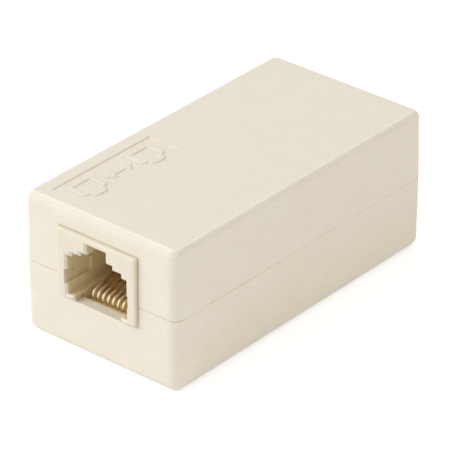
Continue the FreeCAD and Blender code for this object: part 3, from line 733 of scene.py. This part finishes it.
def arch(half_width, bottom, top, foot_round):
    """Upright arch from its right foot's end anticlockwise to its left foot's end, round at the feet."""
    corners = (
        (foot_end, bottom),
        (half_width, bottom),
        (half_width, top),
        (-half_width, top),
        (-half_width, bottom),
        (-foot_end, bottom),
    )
    return rounded_loop(corners, np.array((0, foot_round, 0, 0, foot_round, 0)))[0]


outer_arch = arch(
    nose_half + window_gap - play,
    nose_bottom - sill_gap + play,
    nose_top + window_headroom - play,
    outer_foot_round,
)
inner_arch = arch(
    nose_half - collar_root, nose_bottom + collar_root, nose_top - collar_root, inner_foot_round
)
# The rib's front comes forward by collar_lean * (its drop from the top / the arch's whole height), and
# slopes back by collar_slope from the housing to the window.
lean = collar_lean * (outer_arch[:, 1].max() - outer_arch[:, 1]) / np.ptp(outer_arch[:, 1])
back = np.full(len(lean), collar_back)
collar_section = (
    (inner_arch, collar_front + lean),
    (outer_arch, collar_front + lean - collar_slope),
    (outer_arch, back),
    (inner_arch, back),
)
for end, direction in (("front", -1), ("rear", 1)):
    collar_rows = [
        np.stack([across[:, 0], direction * depth, across[:, 1]], 1) for across, depth in collar_section
    ]
    moulded_piece(f"{end}_socket_collar", np.stack(collar_rows, 1), False, socket_plastic)

# Contact carriers
# A grooved floor and a slotted tower under and behind the plug, in which the spring wires lie. It is
# moulded in the same smooth ivory, darker and warmer, a tone that is partly painted shade, and set
# into the housing from below.
carrier_tone_with_painted_shade, carrier_shade = (0.86, 0.74, 0.47, 1), (0.82, 0.70, 0.44, 1)
carrier_plastic = grained_finish(
    "ivory_carrier", carrier_tone_with_painted_shade, carrier_shade, roughness=0.45, **polished_mould
)
# Painted shade: the carrier grows darker still deeper in the socket.
add_layer(
    carrier_plastic, socket_depth, {"Deep tint": (1.0, 0.93, 0.78, 1), "Lip": 0.028, "Depth": 0.021}
)
dress(("front_contact_carrier", "rear_contact_carrier"), carrier_plastic)

# Contacts
# Eight spring wires of phosphor bronze at each end, drawn, gold plated and bent to a hairpin. Their
# tails go through the circuit board.
dull_gold, bright_gold = (0.87, 0.69, 0.42, 1), (0.95, 0.81, 0.56, 1)
contact_names = [f"{end}_contact_{number}" for end in ("front", "rear") for number in range(1, 9)]


def gold_wire():
    """Thin gold over drawn wire: a metal with faint lengthways streaks and dull patches."""
    material = bpy.data.materials.new("gold_wire")
    material.use_nodes = True
    graph = material.node_tree
    shader = graph.nodes["Principled BSDF"]
    shader.inputs["Metallic"].default_value = 1.0
    place = graph.nodes.new("ShaderNodeTexCoord")
    stretch = graph.nodes.new("ShaderNodeMapping")
    stretch.inputs["Scale"].default_value = (1, 0.08, 0.5)
    streaks = graph.nodes.new("ShaderNodeTexNoise")
    streaks.inputs["Scale"].default_value = 9000
    streaks.inputs["Detail"].default_value = 2
    tone = graph.nodes.new("ShaderNodeMix")
    tone.data_type = "RGBA"
    tone.inputs["A"].default_value = dull_gold
    tone.inputs["B"].default_value = bright_gold
    dull = graph.nodes.new("ShaderNodeMapRange")
    dull.inputs["To Min"].default_value = 0.5
    dull.inputs["To Max"].default_value = 0.64
    graph.links.new(place.outputs["Object"], stretch.inputs["Vector"])
    graph.links.new(stretch.outputs["Vector"], streaks.inputs["Vector"])
    graph.links.new(streaks.outputs["Fac"], tone.inputs["Factor"])
    graph.links.new(streaks.outputs["Fac"], dull.inputs["Value"])
    graph.links.new(tone.outputs["Result"], shader.inputs["Base Color"])
    graph.links.new(dull.outputs["Result"], shader.inputs["Roughness"])
    return material


contact_gold = gold_wire()
# Painted shade and painted reflection: the wires turn darker and browner deeper in the socket.
add_layer(
    contact_gold, socket_depth, {"Deep tint": (0.60, 0.49, 0.40, 1), "Lip": 0.0266, "Depth": 0.0250}
)
dress(contact_names, contact_gold)

# Circuit board
# Glass-epoxy sheet with a green solder mask, clamped between the shells' posts and ribs. Its eight
# straight tracks join the wires of the two sockets, one to one.
mask_green, mask_shade = (0.030, 0.150, 0.062, 1), (0.024, 0.120, 0.050, 1)
green_over_copper, bare_epoxy = (0.075, 0.300, 0.120, 1), (0.520, 0.460, 0.260, 1)
lane_spacing, lanes_each_side = 0.001016, 4
track_share, sawn_tilt = 0.48, 0.5


def draw_tracks(material):
    """Lighter green over the copper of eight straight tracks, and bare glass-epoxy on the sawn edges.

    Each track runs along Y in the middle of its lane and takes track_share of the lane's width. A face
    is a sawn edge where the Z of its normal is between -sawn_tilt and sawn_tilt.
    """
    graph = material.node_tree
    colour_socket = graph.nodes["Principled BSDF"].inputs["Base Color"]

    def math_node(kind, source, value=0.0):
        """Result of one step of arithmetic on a socket."""
        node = graph.nodes.new("ShaderNodeMath")
        node.operation = kind
        node.inputs[1].default_value = value
        graph.links.new(source, node.inputs[0])
        return node.outputs["Value"]

    place = graph.nodes.new("ShaderNodeTexCoord")
    split = graph.nodes.new("ShaderNodeSeparateXYZ")
    facing = graph.nodes.new("ShaderNodeSeparateXYZ")
    graph.links.new(place.outputs["Object"], split.inputs["Vector"])
    graph.links.new(place.outputs["Normal"], facing.inputs["Vector"])
    lane = math_node("FRACT", math_node("DIVIDE", split.outputs["X"], lane_spacing))
    off_lane = math_node("ABSOLUTE", math_node("SUBTRACT", lane, 0.5))
    on_lane = math_node("LESS_THAN", off_lane, track_share / 2)
    off_middle = math_node("ABSOLUTE", split.outputs["X"])
    within = math_node("LESS_THAN", off_middle, lanes_each_side * lane_spacing)
    track = graph.nodes.new("ShaderNodeMath")
    track.operation = "MULTIPLY"
    graph.links.new(on_lane, track.inputs[0])
    graph.links.new(within, track.inputs[1])
    sawn = math_node("LESS_THAN", math_node("ABSOLUTE", facing.outputs["Z"]), sawn_tilt)
    tone = colour_socket.links[0].from_socket
    for mask, colour in ((track.outputs["Value"], green_over_copper), (sawn, bare_epoxy)):
        layer = graph.nodes.new("ShaderNodeMix")
        layer.data_type = "RGBA"
        layer.inputs["B"].default_value = colour
        graph.links.new(mask, layer.inputs["Factor"])
        graph.links.new(tone, layer.inputs["A"])
        tone = layer.outputs["Result"]
    graph.links.new(tone, colour_socket)


board_green = grained_finish(
    "green_mask",
    mask_green,
    mask_shade,
    roughness=0.3,
    pits_per_metre=2600,
    patches_per_metre=300,
    pit_depth=0.00002,
    relief=0.2,
)
draw_tracks(board_green)
dress(("circuit_board",), board_green)

# Solder joints
# Bright tin that has drawn up into a cone round each wire's tail under the board, eight at each end,
# with a slightly uneven skin.
tin_bright, tin_dull = (0.62, 0.62, 0.63, 1), (0.55, 0.55, 0.57, 1)
tin = grained_finish(
    "bright_tin",
    tin_bright,
    tin_dull,
    roughness=0.3,
    pits_per_metre=3000,
    patches_per_metre=900,
    pit_depth=0.00002,
    relief=0.2,
)
tin.node_tree.nodes["Principled BSDF"].inputs["Metallic"].default_value = 1.0
dress(("front_solder_joints", "rear_solder_joints"), tin)
